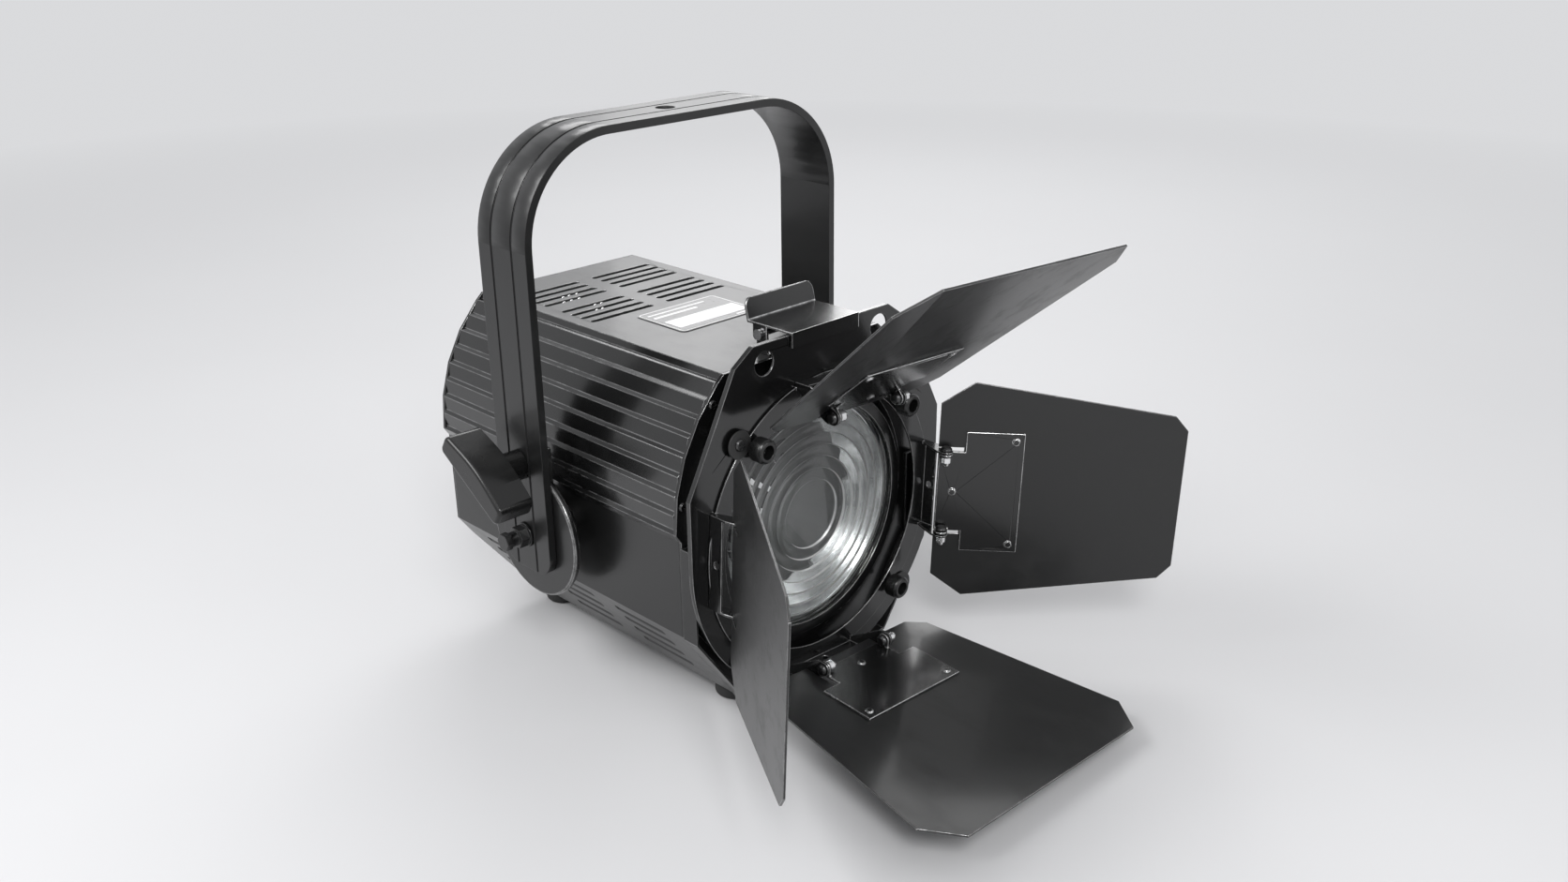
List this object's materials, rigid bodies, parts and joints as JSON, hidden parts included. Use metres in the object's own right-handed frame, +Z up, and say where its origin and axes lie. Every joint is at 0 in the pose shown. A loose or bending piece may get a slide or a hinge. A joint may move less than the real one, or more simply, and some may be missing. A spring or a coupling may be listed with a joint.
{
  "type": "stage spotlight",
  "caption": "Box-shaped stage spotlight with a stepped lens, a rotating ring of hinged barn door leaves, a sprung latch and a tilting flat-bar yoke",
  "frame": {"origin": "on the floor plane under the feet, below the middle of the tilt axis", "axes": "beam leaves towards -Y, +X is to the right seen from the front, +Z up"},
  "size_m": [0.4015, 0.482, 0.3712],
  "materials": {
    "housing_paint": "semi-gloss black powder coat",
    "cover_paint": "satin dark grey powder coat",
    "door_paint": "satin black powder coat",
    "yoke_paint": "semi-gloss black paint",
    "knob_plastic": "moulded black",
    "nylon": "black nylon",
    "bright_steel": "bright plated steel",
    "dark_steel": "blackened steel",
    "lens_glass": "clear pressed glass",
    "bright_aluminium": "bright sheet",
    "rubber": "moulded black",
    "board": "green solder mask",
    "lamp_board": "grey substrate",
    "display": "dark window"
  },
  "bodies": {
    "housing": {"left_side_profile": "housing_paint", "right_side_profile": "housing_paint", "top_cover": "cover_paint", "bottom_tray": "housing_paint", "front_bezel": "housing_paint", "rear_panel": "housing_paint", "accessory_frame": "housing_paint", "barndoor_plate": "door_paint", "latch_bracket": "housing_paint", "latch_pin": "bright_steel", "latch_spring": "bright_steel", "lens_ring": "housing_paint", "lens_gasket": "rubber", "fresnel_lens": "lens_glass", "lens_tube": "bright_aluminium", "ring_guides": "nylon", "guide_screws": "bright_steel", "tilt_discs": "yoke_paint", "pivot_bolts": "bright_steel", "rubber_feet": "rubber", "front_bulkhead": "bright_aluminium", "rear_bulkhead": "bright_aluminium", "guide_rods": "bright_steel", "power_supply": "bright_aluminium", "driver_board": "board", "power_inlet": "knob_plastic", "data_in_socket": "knob_plastic", "data_out_socket": "knob_plastic", "menu_display": "display", "button_board": "board", "safety_eye": "housing_paint", "housing_screws": "housing_paint"},
    "yoke": {"yoke": "yoke_paint", "clamp_jaws": "yoke_paint"},
    "clamp_knob_left": {"clamp_knob_left": "knob_plastic"},
    "clamp_knob_right": {"clamp_knob_right": "knob_plastic"},
    "ring": {"barndoor_ring": "door_paint", "turning_knobs": "knob_plastic", "hinge_bolts": "dark_steel", "hinge_nuts": "bright_steel"},
    "latch": {"latch_clip": "door_paint"},
    "focus": {"focus_knob": "knob_plastic", "focus_screw": "bright_steel"},
    "carriage": {"led_carriage": "bright_aluminium", "led_board": "lamp_board", "heatsink": "bright_aluminium", "fan_frame": "knob_plastic"},
    "fan": {"fan_rotor": "knob_plastic"},
    "leaf_top": {"leaf_top": "door_paint", "hinge_plate_top": "door_paint"},
    "leaf_right": {"leaf_right": "door_paint", "hinge_plate_right": "door_paint"},
    "leaf_bottom": {"leaf_bottom": "door_paint", "hinge_plate_bottom": "door_paint"},
    "leaf_left": {"leaf_left": "door_paint", "hinge_plate_left": "door_paint"},
    "button_1": {"menu_button_1": "knob_plastic"},
    "button_2": {"menu_button_2": "knob_plastic"},
    "button_3": {"menu_button_3": "knob_plastic"},
    "button_4": {"menu_button_4": "knob_plastic"}
  },
  "joints": [
    {"name": "yoke_tilt", "type": "hinge", "parent": "housing", "child": "yoke", "pos_m": [0, 0, 0.111], "axis": [-1, 0, 0], "range_deg": [-45, 105]},
    {"name": "clamp_left_turn", "type": "hinge", "parent": "yoke", "child": "clamp_knob_left", "pos_m": [-0.15, 0, 0.161], "axis": [-1, 0, 0], "range_deg": [0, 360]},
    {"name": "clamp_right_turn", "type": "hinge", "parent": "yoke", "child": "clamp_knob_right", "pos_m": [0.15, 0, 0.161], "axis": [1, 0, 0], "range_deg": [0, 360]},
    {"name": "barndoor_rotate", "type": "hinge", "parent": "housing", "child": "ring", "pos_m": [0, -0.1438, 0.123], "axis": [0, -1, 0], "range_deg": [-17, 23]},
    {"name": "leaf_top_hinge", "type": "hinge", "parent": "ring", "child": "leaf_top", "pos_m": [0.00449, -0.175, 0.20808], "axis": [-0.9986, 0, 0.0527], "range_deg": [-128.9, 59.1]},
    {"name": "leaf_right_hinge", "type": "hinge", "parent": "ring", "child": "leaf_right", "pos_m": [0.09287, -0.166, 0.1181], "axis": [-0.0527, 0, -0.9986], "range_deg": [-62, 131]},
    {"name": "leaf_bottom_hinge", "type": "hinge", "parent": "ring", "child": "leaf_bottom", "pos_m": [-0.00449, -0.175, 0.03792], "axis": [-0.9986, 0, 0.0527], "range_deg": [-96, 92]},
    {"name": "leaf_left_hinge", "type": "hinge", "parent": "ring", "child": "leaf_left", "pos_m": [-0.09287, -0.166, 0.1279], "axis": [-0.0527, 0, -0.9986], "range_deg": [-121.9, 71.1]},
    {"name": "latch_open", "type": "hinge", "parent": "housing", "child": "latch", "pos_m": [0, -0.116, 0.25], "axis": [-1, 0, 0], "range_deg": [0, 38], "stiffness_Nm_per_rad": 0.25, "springref_deg": -20.05},
    {"name": "carriage_slide", "type": "slide", "parent": "housing", "child": "carriage", "axis": [0, -1, 0], "range_m": [-0.028, 0.032]},
    {"name": "focus_turn", "type": "hinge", "parent": "housing", "child": "focus", "pos_m": [0, 0.13, 0.07], "axis": [0, -1, 0], "range_deg": [-1270, 1450]},
    {"name": "fan_spin", "type": "hinge", "parent": "carriage", "child": "fan", "pos_m": [0, 0.038, 0.123], "axis": [0, 1, 0], "continuous": true},
    {"name": "button_1_press", "type": "slide", "parent": "housing", "child": "button_1", "axis": [0, -1, 0], "range_m": [0, 0.0012], "stiffness_N_per_m": 900, "springref_m": -0.0006},
    {"name": "button_2_press", "type": "slide", "parent": "housing", "child": "button_2", "axis": [0, -1, 0], "range_m": [0, 0.0012], "stiffness_N_per_m": 900, "springref_m": -0.0006},
    {"name": "button_3_press", "type": "slide", "parent": "housing", "child": "button_3", "axis": [0, -1, 0], "range_m": [0, 0.0012], "stiffness_N_per_m": 900, "springref_m": -0.0006},
    {"name": "button_4_press", "type": "slide", "parent": "housing", "child": "button_4", "axis": [0, -1, 0], "range_m": [0, 0.0012], "stiffness_N_per_m": 900, "springref_m": -0.0006}
  ],
  "couplings": [
    {"joint": "focus_turn", "follows": "carriage_slide", "rad_per_m": 785.4}
  ]
}
